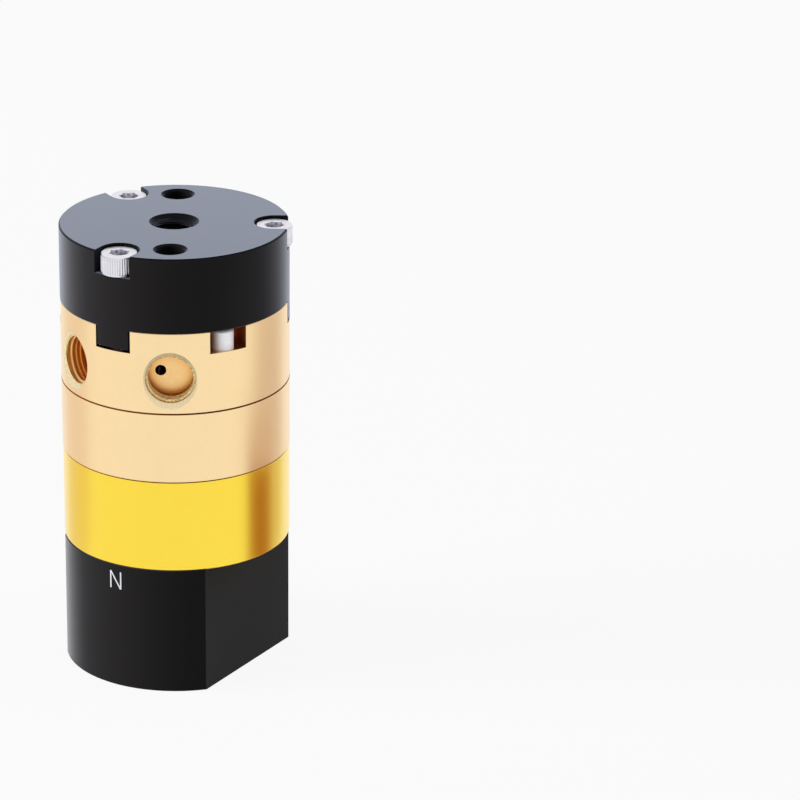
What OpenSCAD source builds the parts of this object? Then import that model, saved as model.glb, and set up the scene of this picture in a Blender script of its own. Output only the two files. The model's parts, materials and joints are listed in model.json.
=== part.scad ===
// Switchable permanent-magnet gripper with a pneumatic half-turn vane drive.
// The origin is the centre of the magnet face. +Z runs up the stack to the robot side,
// and +X passes through one of the three cap screws. Millimetres and degrees.

/* [Stack] */
// Outside diameter of the cap, the port ring, the middle ring and the magnet housing
body_d = 45; // [44:0.2:52]
// Step from the body in to the coupling ring
coupling_step = 0.1; // [0:0.05:0.5]
// Height of the cap
cap_h = 15.2; // [15:0.1:20]
// Height of the port ring
port_ring_h = 16.5; // [16:0.1:22]
// Height of the middle ring
middle_ring_h = 14.3; // [13.6:0.1:20]
// Height of the coupling ring
coupling_ring_h = 18.6; // [18.4:0.1:24]
// Height of the magnet housing below the coupling ring
housing_h = 25.8; // [25:0.1:28]
// Chamfer on the edges where the rings meet
edge_break = 0.1; // [0.05:0.05:0.4]
// Height of the gap that shows between two rings at the rim
seam_h = 0.12; // [0.05:0.01:0.2]
// Depth of that gap behind the rim
seam_depth = 0.25; // [0.1:0.05:0.3]
// Chamfer round the cap's top face
cap_chamfer = 0.3; // [0.2:0.05:0.8]

/* [Robot side] */
// Thread of the centre hole
mount_thread_d = 8; // [6:1:10]
// Depth of the centre hole
mount_thread_depth = 10.5; // [8:0.5:11]
// Width of the centre hole's countersink at the top face
mount_thread_rim_d = 9.8; // [9.6:0.1:12]
// Diameter of the two mounting holes
mount_hole_d = 6; // [4:0.5:6.5]
// Depth of the two mounting holes
mount_hole_depth = 9; // [6:0.5:11]
// Distance of a mounting hole's centre from the cap's outside
mount_hole_edge = 6; // [5:0.5:8]
// Chamfer at the mouth of a mounting hole
mount_hole_chamfer = 0.35; // [0.2:0.05:0.6]

/* [Cap screws] */
// Number of cap screws
screw_count = 3; // [3:1:3]
// Thread of a cap screw
screw_d = 4; // [3:0.5:4]
// Length of a cap screw under its head
screw_l = 50; // [45:1:52]
// Diameter of a screw head
screw_head_d = 7; // [6:0.25:7.5]
// Height of a screw head
screw_head_h = 4; // [3:0.25:4.25]
// Hexagon socket across its flats
screw_hex = 3; // [2:0.5:3]
// Depth of the hexagon socket
screw_hex_depth = 2; // [1.5:0.25:2.5]
// Distance of a screw's centre from the outside of the body
screw_edge = 3; // [2.75:0.05:3.5]
// Width of the notch that holds a screw head
head_notch_w = 8; // [7.75:0.25:9]
// Depth of the notch that holds a screw head
head_notch_h = 4.5; // [4.25:0.25:6]

/* [Keys and dowels] */
// Width of the six notches in the port ring's top edge
port_notch_w = 7.8; // [7:0.1:8]
// Depth of the six notches
port_notch_h = 4.45; // [4:0.05:5]
// Gap between a cap tab and each side of its notch
tab_side_gap = 0.4; // [0.1:0.1:0.8]
// Gap between a cap tab and the floor of its notch
tab_floor_gap = 0.6; // [0.2:0.1:1]
// Diameter of a locating dowel
dowel_d = 4.2; // [3:0.1:4.2]
// Distance of a locating dowel's centre from the outside of the body
dowel_edge = 2.5; // [2.4:0.1:3.5]
// How far a locating dowel reaches into the middle ring
dowel_reach = 6; // [4:0.5:10]
// Gap between a locating dowel and the cap
dowel_cap_gap = 0.5; // [0.3:0.1:1]

/* [Air ports] */
// Thread of an air port
port_thread_d = 9.73; // [8:0.01:10]
// Depth of an air port behind the outside of the ring
port_depth = 4.5; // [3.5:0.1:5]
// Width of an air port's countersink
port_rim_d = 11.7; // [11:0.1:13]
// Height of the air ports above the bottom of the port ring
port_z = 6.9; // [6.5:0.1:8]
// Angle between an air port and the stator shoe
port_angle = 30; // [28:0.5:32]
// Diameter of the air hole in the bottom of a port
air_hole_d = 2.15; // [1.5:0.05:2.5]
// Distance of the air hole to the side of the port's axis
air_hole_side = 2; // [1.5:0.1:2.4]
// Distance of the air hole above the port's axis
air_hole_up = 0.6; // [0:0.1:1]

/* [Vane drive] */
// Wall between a notch of the port ring and the vane chamber
chamber_wall = 1.6; // [1:0.05:2.5]
// How far the cap's spigot reaches into the port ring
cap_spigot_h = 3.5; // [3:0.1:5]
// How far the middle ring's spigot reaches into the port ring
middle_spigot_h = 3; // [2.8:0.1:4]
// How far the rotor's hub covers the edge of the upper bearing
hub_cover = 0.6; // [0.4:0.1:1]
// Diameter of the rotor's shaft
shaft_d = 8; // [7:0.25:8]
// Thickness of the vane
vane_t = 4; // [3:0.25:6]
// Thickness of the vane's edge seal
vane_seal_t = 1.6; // [1:0.1:2]
// Width of the seal round the vane's edge
vane_seal_w = 1.5; // [1:0.1:2]
// Angle that the stator shoe takes up
shoe_angle = 32; // [28:1:33]
// Thickness of the stator shoe's seal
shoe_seal_t = 1.6; // [1:0.1:2]
// Depth of the stator shoe's seal groove
shoe_seal_w = 1.2; // [0.8:0.1:1.6]
// Diameter of a stator shoe dowel
shoe_dowel_d = 1.5; // [1:0.1:1.6]
// Thickness of the spigots' O-rings
o_ring_t = 1.4; // [1:0.1:1.6]
// Outside diameter of the shaft seal
shaft_seal_d = 15; // [13:0.25:16]
// Height of the shaft seal
shaft_seal_h = 3; // [2.5:0.1:3.2]
// Turn of the rotor between off and on
travel = 180; // [90:5:180]

/* [Stops] */
// Width of the stop arm
arm_w = 5; // [4:0.25:6]
// Thickness of the stop arm
arm_h = 3.2; // [2.5:0.1:3.6]
// Diameter of the cross pin through the arm and the shaft
arm_pin_d = 2; // [1.5:0.1:2.2]
// Diameter of a stop pin
stop_pin_d = 3; // [2:0.1:3.2]
// Gap between a bumper sleeve and the wall round it
bumper_wall_gap = 0.4; // [0.2:0.1:0.6]
// Outside diameter of a bumper sleeve
bumper_d = 5; // [4:0.1:5.2]
// Height of the space that the stop arm swings in
stop_space_h = 4; // [3.8:0.1:4.6]
// Wall between a cap screw's hole and the space that the stop arm swings in
stop_wall = 2.15; // [1.5:0.05:2.4]

/* [Bearings] */
// Outside diameter of the upper shaft bearing
upper_bearing_d = 16; // [15:0.25:16]
// Width of the upper shaft bearing
upper_bearing_w = 5; // [4:0.25:5]
// Ball size of the upper shaft bearing
upper_ball_d = 2.4; // [2:0.1:2.4]
// Outside diameter of the lower shaft bearing
lower_bearing_d = 19; // [17:0.25:19]
// Width of the lower shaft bearing
lower_bearing_w = 6; // [5:0.25:6]
// Ball size of the lower shaft bearing
lower_ball_d = 3.2; // [2.4:0.1:3.2]
// Bore of the carrier bearing
carrier_bearing_bore = 15; // [13:0.25:16]
// Outside diameter of the carrier bearing
carrier_bearing_d = 28; // [27:0.25:29]
// Width of the carrier bearing
carrier_bearing_w = 7; // [6:0.25:7]
// Ball size of the carrier bearing
carrier_ball_d = 3.6; // [3:0.1:3.8]
// Thickness of a retaining ring
clip_t = 1; // [0.8:0.1:1.2]
// How far a retaining ring sits in its groove
clip_bite = 0.6; // [0.4:0.05:0.8]

/* [Magnets] */
// Wall of the magnet housing round the magnets
housing_wall = 7.35; // [6.5:0.05:9]
// Height of each magnet
magnet_h = 11; // [9:0.25:12]
// Thickness of the housing's floor under the magnets
floor_t = 1.2; // [0.8:0.1:2]
// Thickness of the slip disc between the magnets
slip_disc_t = 0.4; // [0.2:0.1:1]
// Width of the driving slot in the turning magnet
slot_w = 6; // [4:0.5:8]
// Depth of the driving slot
slot_h = 2.6; // [2:0.1:3]
// Wall of the magnet housing at its two flats
flat_wall = 1.6; // [1:0.1:5]
// Turn of the two flats from square to the air ports
flat_turn = -1.5; // [-5:0.5:5]
// Wall of the housing's spigot in the coupling ring
spigot_wall = 1.85; // [1.2:0.05:2.2]
// Height of the housing's spigot
spigot_h = 5.4; // [4:0.2:6]
// Height of the carrier's disc
carrier_disc_h = 3.3; // [2.5:0.1:4]
// Thickness of the shaft's tang
tang_t = 3; // [2:0.25:4]
// How far the tang reaches into the carrier
tang_reach = 4.5; // [3:0.25:6]

/* [Hidden] */

$fn = 64;

// Clearances
run = 0.05;            // between a turning piece and a fixed one, per side
seat = 0.02;           // between two fixed pieces that locate each other, per side
screw_play = 0.15;     // round a screw's shank, per side
thread_play = 0.05;    // round a screw in its tapped hole, per side
magnet_play = 0.15;    // round the magnets, per side
end_play = 0.1;        // above and below the rotor
tap_spare = 1;         // depth of a tapped hole past its screw
cut = 1;               // how far a cutting shape runs past a face

// Colours
black_anodised = "#1c1d20";
pale_gold = "#e8cd92";
yellow_gold = "#f2c62e";
steel = "#c9cbcf";
dark_steel = "#5c5f66";
nickel = "#d8d6cf";
rubber = "#26262a";
bronze = "#a9824a";
plastic = "#e9e6da";

// Heights of the joints between the rings, from the magnet face
z_housing = housing_h;
z_coupling = z_housing + coupling_ring_h;
z_middle = z_coupling + middle_ring_h;
z_port = z_middle + port_ring_h;
z_cap = z_port + cap_h;

// Angles. The shoe, the notches and the screws all follow from shoe_az.
shoe_az = -120;
rest_az = shoe_az + 90;
pitch_az = 360 / screw_count;
flat_az = shoe_az + 90 + flat_turn;
tongue_az = rest_az + 90;

// Radii
body_r = body_d / 2;
coupling_r = body_r - coupling_step;
screw_r = screw_d / 2;
screw_circle_r = body_r - screw_edge;
dowel_r = dowel_d / 2;
dowel_circle_r = body_r - dowel_edge;
mount_hole_r = mount_hole_d / 2;
mount_circle_r = body_r - mount_hole_edge;
chamber_r = screw_circle_r - port_notch_w / 2 - chamber_wall;
hub_r = upper_bearing_d / 2 + hub_cover;
shaft_r = shaft_d / 2;
magnet_bore_r = body_r - housing_wall;
magnet_r = magnet_bore_r - magnet_play;
flat_r = magnet_bore_r + flat_wall;
spigot_r = magnet_bore_r + spigot_wall;
carrier_hub_r = carrier_bearing_bore / 2;
bumper_r = bumper_d / 2;
stop_space_r = screw_circle_r - screw_r - screw_play - stop_wall;
stop_circle_r = stop_space_r - bumper_wall_gap - bumper_r;

// Screws and dowels
z_head = z_cap - head_notch_h;
z_screw_end = z_head - screw_l;
z_notch = z_port - port_notch_h;
tab_w = port_notch_w - 2 * tab_side_gap;
z_tab = z_notch + tab_floor_gap;
z_dowel_top = z_port - dowel_cap_gap;
z_dowel_end = z_middle - dowel_reach;

// Vane chamber
z_floor = z_middle + middle_spigot_h;
z_ceiling = z_port - cap_spigot_h;
z_air = z_middle + port_z;
z_shaft_seal = z_floor - shaft_seal_h;
shoe_dowel_grip = 2.5;
shoe_play = 3 * run;
shoe_dowel_wall = 0.15;
shoe_dowel_side = shoe_seal_t / 2 + shoe_dowel_wall + shoe_dowel_d / 2;
shoe_dowel_out = (hub_r + shoe_play + chamber_r - o_ring_t) / 2;

// Stops and shaft bearings
z_stop_top = z_coupling + stop_space_h;
z_arm = z_coupling + (stop_space_h - arm_h) / 2;
clip_land = 0.8;
clip_gap = 0.05;
z_lower_clip = z_stop_top + clip_land;
z_lower = z_lower_clip + clip_t + 2 * clip_gap;
upper_gap = 0.2;
z_upper = z_ceiling + upper_gap;
shaft_end_gap = 0.6;
z_shaft_top = z_upper + upper_bearing_w;
stop_gap = 0.1;
stop_pin_grip = 3;
bumper_gap = 0.2;
stop_turn = asin((arm_w / 2 + bumper_r + stop_gap) / stop_circle_r);
arm_boss_r = shaft_r + 2.6;

// Magnets and carrier
z_fixed = floor_t;
z_slip = z_fixed + magnet_h;
z_turning = z_slip + slip_disc_t + run;
z_turning_top = z_turning + magnet_h;
z_disc_top = z_turning_top + run + carrier_disc_h;
carrier_clip_room = 2 * clip_gap + clip_t;
z_carrier_top = z_coupling - 2.9;
z_carrier_bearing_top = z_carrier_top - carrier_clip_room - clip_land;
z_carrier_bearing = z_carrier_bearing_top - carrier_bearing_w;
z_tang = z_carrier_top - tang_reach;
tang_play = 0.1;
slot_floor_gap = 0.4;
shoulder_w = 1.5;

// A ring or disc from z0 to z1 with chamfers c0 at the bottom and c1 at the top of its outer edge
module disc(r, z0, z1, c0 = 0, c1 = 0) {
    rotate_extrude($fn = 128)
        polygon([[0, z0], [r - c0, z0], [r, z0 + c0], [r, z1 - c1], [r - c1, z1], [0, z1]]);
}

// A ring's blank from z0 to z1, with its edges broken and its lower face relieved at the rim,
// so that a thin dark seam shows between it and the ring under it
module blank(r, z0, z1) {
    z_rim = z0 + seam_h;
    rotate_extrude($fn = 128) polygon([
        [0, z0], [r - seam_depth, z0], [r - seam_depth, z_rim], [r - edge_break, z_rim],
        [r, z_rim + edge_break], [r, z1 - edge_break], [r - edge_break, z1], [0, z1]
    ]);
}

// A plain hole or post of radius r from z0 to z1, at radius at and angle az
module post(r, z0, z1, at = 0, az = 0, fn = 48) {
    rotate(az) translate([at, 0, z0]) cylinder(r = r, h = z1 - z0, $fn = fn);
}

// A ring of radii r0 to r1 from z0 to z1
module ring(r0, r1, z0, z1) {
    rotate_extrude($fn = 96) translate([r0, z0]) square([r1 - r0, z1 - z0]);
}

// A slot open to the outside, with a round inner end centred on the radius at
module edge_slot(w, at, z0, z1, az) {
    rotate(az) translate([0, 0, z0]) {
        translate([at, 0, 0]) cylinder(r = w / 2, h = z1 - z0);
        translate([at, -w / 2, 0]) cube([body_r, w, z1 - z0]);
    }
}

// A countersink whose mouth is rim_r wide at z1, running down to the radius r
module countersink(r, rim_r, z1) {
    translate([0, 0, z1 - (rim_r - r)]) cylinder(r1 = r, r2 = rim_r, h = rim_r - r);
}

// Copies its children at the cap screws
module at_screws() {
    for (i = [0 : screw_count - 1]) rotate(i * pitch_az) children();
}

// Copies its children at the locating dowels, half-way between the screws
module at_dowels() {
    rotate(pitch_az / 2) at_screws() children();
}

// The O-ring groove of a spigot of radius r, its middle at height z
module o_ring_groove(r, z) {
    depth = o_ring_t - 2 * seat;
    ring(r - depth, r + cut, z - o_ring_t * 0.6, z + o_ring_t * 0.6);
}

module o_ring(r, z) {
    rotate_extrude($fn = 96)
        translate([r - o_ring_t / 2 + seat, z]) circle(r = o_ring_t / 2 - 2 * seat, $fn = 32);
}

// ---- Deep-groove ball bearing, its lower face at z ----

function pitch_r(bore, od) = (bore + od) / 4;
function ball_count(bore, od, ball) = floor(2 * PI * pitch_r(bore, od) / (ball * 1.75));

module bearing_outer_race(bore, od, w, ball, z) {
    p = pitch_r(bore, od);
    bevel = 0.3;
    difference() {
        disc(od / 2 - seat, z, z + w, bevel, bevel);
        post(p + ball * 0.28, z - cut, z + w + cut);
        ball_track(p, ball, z + w / 2);
    }
}

module bearing_inner_race(bore, od, w, ball, z) {
    p = pitch_r(bore, od);
    bevel = 0.2;
    difference() {
        disc(p - ball * 0.28, z, z + w, bevel, bevel);
        post(bore / 2 + seat, z - cut, z + w + cut);
        ball_track(p, ball, z + w / 2);
    }
}

module ball_track(p, ball, z) {
    rotate_extrude($fn = 96) translate([p, z]) circle(r = ball / 2 + run, $fn = 48);
}

module bearing_balls(bore, od, w, ball, z) {
    n = ball_count(bore, od, ball);
    for (i = [0 : n - 1])
        rotate(i * 360 / n) translate([pitch_r(bore, od), 0, z + w / 2]) sphere(d = ball, $fn = 32);
}

module bearing_cage(bore, od, w, ball, z) {
    n = ball_count(bore, od, ball);
    p = pitch_r(bore, od);
    difference() {
        ring(p - ball * 0.18, p + ball * 0.18, z + w / 2 - ball * 0.62, z + w / 2 + ball * 0.62);
        for (i = [0 : n - 1])
            rotate(i * 360 / n) translate([p, 0, z + w / 2]) sphere(d = ball + 2 * run, $fn = 32);
    }
}

// A C-shaped retaining ring with its gap at angle az
module c_clip(r0, r1, z, az, gap) {
    difference() {
        ring(r0, r1, z, z + clip_t);
        rotate(az) translate([0, -gap / 2, z - cut]) cube([r1 + cut, gap, clip_t + 2 * cut]);
    }
}

// ---- Fixed pieces, from the top ----

module top_cap() {
    color(black_anodised) difference() {
        union() {
            disc(body_r, z_port, z_cap, edge_break, cap_chamfer);
            cap_spigot();
            intersection() {
                disc(body_r, z_tab, z_port + edge_break + cut);
                at_screws() edge_slot(tab_w, screw_circle_r, z_tab, z_port + edge_break, 0);
            }
        }
        post(mount_thread_d / 2, z_cap - mount_thread_depth, z_cap + cut);
        countersink(mount_thread_d / 2, mount_thread_rim_d / 2, z_cap);
        for (side = [-90, 90]) rotate(side) translate([mount_circle_r, 0, 0]) {
            post(mount_hole_r, z_cap - mount_hole_depth, z_cap + cut);
            countersink(mount_hole_r, mount_hole_r + mount_hole_chamfer, z_cap);
        }
        at_screws() {
            edge_slot(head_notch_w, screw_circle_r, z_head, z_cap + cut, 0);
            post(screw_r + screw_play, z_tab - cut, z_head + cut, screw_circle_r);
        }
        post(upper_bearing_d / 2, z_ceiling - cut, z_upper + upper_bearing_w);
        post(shaft_r + 1, z_ceiling, z_shaft_top + shaft_end_gap);
    }
}

module cap_spigot() {
    difference() {
        disc(chamber_r - seat, z_ceiling, z_port + cut, edge_break);
        o_ring_groove(chamber_r - seat, (z_ceiling + z_port) / 2);
    }
}

module cap_screws() {
    color(steel) at_screws() translate([screw_circle_r, 0, z_head]) cap_screw();
}

// One socket-head screw, its head standing on z = 0
module cap_screw() {
    bevel = 0.35;
    rim = screw_head_d / 2;
    difference() {
        rotate_extrude($fn = 64) polygon([
            [0, -screw_l], [screw_r - thread_play - bevel, -screw_l],
            [screw_r - thread_play, -screw_l + bevel], [screw_r - thread_play, 0],
            [rim - bevel / 2, 0], [rim, bevel / 2],
            [rim, screw_head_h - bevel], [rim - bevel, screw_head_h], [0, screw_head_h]
        ]);
        translate([0, 0, screw_head_h - screw_hex_depth])
            cylinder(d = screw_hex / cos(30), h = screw_hex_depth + cut, $fn = 6);
    }
}

module port_ring() {
    color(pale_gold) difference() {
        blank(body_r, z_middle, z_port);
        post(chamber_r, z_middle - cut, z_port + cut, fn = 96);
        for (i = [0 : 2 * screw_count - 1])
            edge_slot(port_notch_w, screw_circle_r, z_notch, z_port + cut, i * pitch_az / 2);
        at_screws() post(screw_r + screw_play, z_middle - cut, z_port + cut, screw_circle_r);
        at_dowels() post(dowel_r + seat, z_middle - cut, z_port + cut, dowel_circle_r);
        for (side = [-1, 1]) rotate(shoe_az + side * port_angle) translate([0, 0, z_air])
            air_port(side);
    }
}

// The cutting shape of one threaded port, along +X, with its air hole towards the shoe
module air_port(side) {
    r = port_thread_d / 2;
    rim = port_rim_d / 2;
    rotate([0, 90, 0]) {
        translate([0, 0, body_r - port_depth]) cylinder(r = r, h = port_depth + cut);
        translate([0, 0, body_r - (rim - r)]) cylinder(r1 = r, r2 = rim + cut, h = rim - r + cut);
        translate([-air_hole_up, -side * air_hole_side, chamber_r - cut])
            cylinder(d = air_hole_d, h = body_r - port_depth - chamber_r + 2 * cut);
    }
}

module locating_dowels() {
    bevel = 0.3;
    color(steel) at_dowels() translate([dowel_circle_r, 0, 0])
        disc(dowel_r, z_dowel_end, z_dowel_top, bevel, bevel);
}

module middle_ring() {
    color(pale_gold) difference() {
        union() {
            blank(body_r, z_coupling, z_middle);
            disc(chamber_r - seat, z_middle - cut, z_floor, 0, edge_break);
        }
        o_ring_groove(chamber_r - seat, (z_middle + z_floor) / 2);
        post(shaft_seal_d / 2, z_shaft_seal, z_floor + cut);
        post(shaft_r + 0.4, z_lower, z_floor);
        post(lower_bearing_d / 2, z_coupling, z_lower + lower_bearing_w);
        post(lower_bearing_d / 2 + clip_bite, z_lower_clip, z_lower - clip_gap + seat);
        post(stop_space_r, z_coupling - cut, z_stop_top, fn = 96);
        at_stops() post(stop_pin_d / 2, z_coupling, z_stop_top + stop_pin_grip);
        at_shoe_dowels() post(shoe_dowel_d / 2, z_floor - shoe_dowel_grip, z_floor + cut);
        at_screws() post(screw_r + screw_play, z_coupling - cut, z_middle + cut, screw_circle_r);
        at_dowels() post(dowel_r + seat, z_dowel_end - seat, z_middle + cut, dowel_circle_r);
    }
}

module coupling_ring() {
    socket_top = z_housing + spigot_h + seat;
    color(yellow_gold) difference() {
        blank(coupling_r, z_housing, z_coupling);
        post(spigot_r + thread_play, z_housing - cut, socket_top, fn = 96);
        post(carrier_bearing_d / 2 - shoulder_w, z_housing, z_coupling);
        post(carrier_bearing_d / 2, z_carrier_bearing, z_coupling + cut, fn = 96);
        post(carrier_bearing_d / 2 + clip_bite, z_carrier_bearing_top,
            z_carrier_bearing_top + carrier_clip_room, fn = 96);
        at_screws() post(screw_r, z_screw_end - tap_spare, z_coupling + cut, screw_circle_r);
    }
}

module magnet_housing() {
    color(black_anodised) difference() {
        union() {
            intersection() {
                disc(body_r, 0, z_housing, edge_break, edge_break);
                rotate(flat_az) translate([-flat_r, -body_d, 0])
                    cube([2 * flat_r, 2 * body_d, z_housing]);
            }
            disc(spigot_r, z_housing - cut, z_housing + spigot_h, 0, edge_break);
        }
        post(magnet_bore_r, z_fixed, z_housing + spigot_h + cut, fn = 96);
    }
}

module fixed_magnet() {
    bevel = 0.4;
    color(nickel) disc(magnet_r, z_fixed, z_slip, bevel, bevel);
}

module slip_disc() {
    color(plastic) disc(magnet_r - seat, z_slip, z_slip + slip_disc_t);
}

module stator_shoe() {
    color(bronze) difference() {
        shoe_sector(hub_r + shoe_play, chamber_r - seat, shoe_angle, z_floor, z_ceiling - seat);
        shoe_seal_sector(seat);
        at_shoe_dowels() post(shoe_dowel_d / 2, z_floor - cut, z_floor + shoe_dowel_grip);
    }
}

// A block between two radii, centred on the shoe's angle
module shoe_sector(r0, r1, angle, z0, z1) {
    rotate(shoe_az - angle / 2) rotate_extrude(angle = angle, $fn = 96)
        translate([r0, z0]) square([r1 - r0, z1 - z0]);
}

module shoe_seal_sector(play) {
    rotate(shoe_az) translate([hub_r + run - play, -shoe_seal_t / 2 - play, z_floor - play])
        cube([shoe_seal_w + 2 * play, shoe_seal_t + 2 * play, z_ceiling - z_floor + play]);
}

module shoe_seal() {
    color(rubber) difference() {
        shoe_seal_sector(0);
        post(hub_r + run, z_floor - cut, z_ceiling + cut, fn = 96);
    }
}

module at_shoe_dowels() {
    for (side = [-1, 1])
        rotate(shoe_az) translate([shoe_dowel_out, side * shoe_dowel_side, 0]) children();
}

module shoe_dowels() {
    color(steel) at_shoe_dowels()
        post(shoe_dowel_d / 2 - seat, z_floor - shoe_dowel_grip, z_floor + shoe_dowel_grip - seat);
}

module shaft_seal() {
    r0 = shaft_r + run;
    r1 = shaft_seal_d / 2 - seat;
    wall = 0.8;
    z0 = z_shaft_seal;
    z1 = z_floor - run;
    color(rubber) rotate_extrude($fn = 96) polygon([
        [r0 + wall / 2, z0], [r1, z0], [r1, z1], [r1 - wall, z1], [r1 - wall, z0 + wall],
        [r0 + 2 * wall, z0 + wall], [r0 + wall, z1 - wall / 2], [r0, z1 - wall]
    ]);
}

module cap_o_ring() {
    color(rubber) o_ring(chamber_r - seat, (z_ceiling + z_port) / 2);
}

module middle_o_ring() {
    color(rubber) o_ring(chamber_r - seat, (z_middle + z_floor) / 2);
}

// Copies its children at the two stop pins, just past the arm's two end positions
module at_stops() {
    for (az = [rest_az - stop_turn, rest_az + travel + stop_turn])
        rotate(az) translate([stop_circle_r, 0, 0]) children();
}

module stop_pins() {
    color(steel) at_stops()
        post(stop_pin_d / 2 - seat, z_coupling + bumper_gap, z_stop_top + stop_pin_grip - seat);
}

module stop_bumpers() {
    color(rubber) at_stops() difference() {
        post(bumper_r, z_coupling + bumper_gap, z_stop_top);
        post(stop_pin_d / 2 + seat, z_coupling, z_stop_top + cut);
    }
}

module carrier_bearing_outer_race() {
    color(steel) bearing_outer_race(carrier_bearing_bore, carrier_bearing_d, carrier_bearing_w,
        carrier_ball_d, z_carrier_bearing);
}

module carrier_bearing_clip() {
    r1 = carrier_bearing_d / 2 + clip_bite - seat;
    color(dark_steel) c_clip(r1 - 2.2, r1, z_carrier_bearing_top + clip_gap, shoe_az, 8);
}

module lower_bearing_outer_race() {
    color(steel) bearing_outer_race(shaft_d, lower_bearing_d, lower_bearing_w, lower_ball_d, z_lower);
}

module lower_bearing_clip() {
    r1 = lower_bearing_d / 2 + clip_bite - seat;
    color(dark_steel) c_clip(r1 - 1.8, r1, z_lower_clip + clip_gap, shoe_az, 6);
}

module upper_bearing_outer_race() {
    color(steel) bearing_outer_race(shaft_d, upper_bearing_d, upper_bearing_w, upper_ball_d, z_upper);
}

// ---- Turning pieces, drawn at off ----

module vane_rotor() {
    z_tang_top = z_coupling - clip_t;
    color(nickel) difference() {
        union() {
            disc(hub_r, z_floor + end_play, z_ceiling - end_play, edge_break, edge_break);
            disc(shaft_r, z_tang_top, z_shaft_top, 0, edge_break);
            intersection() {
                disc(shaft_r, z_tang, z_tang_top + cut, edge_break);
                rotate(tongue_az) translate([-shaft_r, -tang_t / 2, z_tang - cut])
                    cube([shaft_d, tang_t, z_tang_top - z_tang + 3 * cut]);
            }
            intersection() {
                vane_plate(vane_t, vane_seal_w / 3);
                disc(chamber_r - 4 * run, z_floor, z_ceiling);
            }
        }
        vane_seal_strip(seat);
        arm_pin_hole();
    }
}

// The vane's outline, inset from the chamber's floor, ceiling and wall
module vane_plate(t, inset) {
    rotate(rest_az) translate([0, -t / 2, z_floor + inset])
        cube([chamber_r - inset, t, z_ceiling - z_floor - 2 * inset]);
}

// The seal round the vane's three free edges, with play on its inner side
module vane_seal_strip(play) {
    difference() {
        vane_plate(vane_seal_t + 2 * play, run - play);
        vane_plate(vane_t, vane_seal_w + play);
        post(hub_r - play, z_floor - cut, z_ceiling + cut, fn = 96);
    }
}

module vane_seal() {
    color(rubber) intersection() {
        vane_seal_strip(0);
        disc(chamber_r - run, z_floor, z_ceiling);
    }
}

// The cross hole through the arm and the shaft
module arm_pin_hole() {
    rotate(rest_az) translate([-body_r, 0, z_arm + arm_h / 2]) rotate([0, 90, 0])
        cylinder(d = arm_pin_d, h = body_d);
}

module stop_arm() {
    color(dark_steel) difference() {
        intersection() {
            union() {
                post(arm_boss_r, z_arm, z_arm + arm_h);
                rotate(rest_az) translate([0, -arm_w / 2, z_arm])
                    cube([stop_space_r, arm_w, arm_h]);
            }
            disc(stop_space_r - 0.5, z_arm, z_arm + arm_h, edge_break, edge_break);
        }
        post(shaft_r + seat, z_arm - cut, z_arm + arm_h + cut);
        arm_pin_hole();
    }
}

module stop_arm_pin() {
    color(steel) rotate(rest_az) translate([-arm_boss_r + edge_break, 0, z_arm + arm_h / 2])
        rotate([0, 90, 0]) cylinder(d = arm_pin_d - 2 * seat, h = stop_space_r - 1 + arm_boss_r);
}

module lower_bearing_inner_race() {
    color(steel) bearing_inner_race(shaft_d, lower_bearing_d, lower_bearing_w, lower_ball_d, z_lower);
}

module upper_bearing_inner_race() {
    color(steel) bearing_inner_race(shaft_d, upper_bearing_d, upper_bearing_w, upper_ball_d, z_upper);
}

module carrier_bearing_inner_race() {
    color(steel) bearing_inner_race(carrier_bearing_bore, carrier_bearing_d, carrier_bearing_w,
        carrier_ball_d, z_carrier_bearing);
}

module magnet_carrier() {
    shoulder_r = carrier_hub_r + shoulder_w;
    color(dark_steel) difference() {
        union() {
            disc(magnet_r - 0.5, z_turning_top + run, z_disc_top, edge_break, edge_break);
            disc(shoulder_r, z_disc_top - cut, z_carrier_bearing, 0, edge_break);
            disc(carrier_hub_r, z_carrier_bearing - cut, z_carrier_top, 0, edge_break);
            intersection() {
                driving_bar(slot_w - 2 * tang_play, z_turning_top - slot_h + slot_floor_gap);
                disc(magnet_r - 1, z_turning, z_disc_top - cut);
            }
        }
        rotate(tongue_az)
            translate([-shaft_r - 0.5, -tang_t / 2 - tang_play, z_tang - slot_floor_gap])
                cube([shaft_d + 1, tang_t + 2 * tang_play, z_carrier_top]);
        ring(carrier_hub_r - clip_bite, carrier_hub_r + cut, z_carrier_bearing_top,
            z_carrier_bearing_top + carrier_clip_room);
    }
}

// A bar of width w right across the magnet, from z0 to above the magnet
module driving_bar(w, z0) {
    rotate(tongue_az) translate([-body_r, -w / 2, z0])
        cube([body_d, w, z_turning_top + cut - z0]);
}

module carrier_clip() {
    r0 = carrier_hub_r - clip_bite + seat;
    color(dark_steel) c_clip(r0, r0 + 1.8, z_carrier_bearing_top + clip_gap, tongue_az, 7);
}

module turning_magnet() {
    bevel = 0.4;
    color(nickel) difference() {
        disc(magnet_r, z_turning, z_turning_top, bevel, bevel);
        driving_bar(slot_w, z_turning_top - slot_h);
    }
}

// ---- Ball sets ----

module carrier_bearing_balls() {
    color(steel) bearing_balls(carrier_bearing_bore, carrier_bearing_d, carrier_bearing_w,
        carrier_ball_d, z_carrier_bearing);
}

module carrier_bearing_cage() {
    color(bronze) bearing_cage(carrier_bearing_bore, carrier_bearing_d, carrier_bearing_w,
        carrier_ball_d, z_carrier_bearing);
}

module lower_bearing_balls() {
    color(steel) bearing_balls(shaft_d, lower_bearing_d, lower_bearing_w, lower_ball_d, z_lower);
}

module lower_bearing_cage() {
    color(bronze) bearing_cage(shaft_d, lower_bearing_d, lower_bearing_w, lower_ball_d, z_lower);
}

module upper_bearing_balls() {
    color(steel) bearing_balls(shaft_d, upper_bearing_d, upper_bearing_w, upper_ball_d, z_upper);
}

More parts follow.
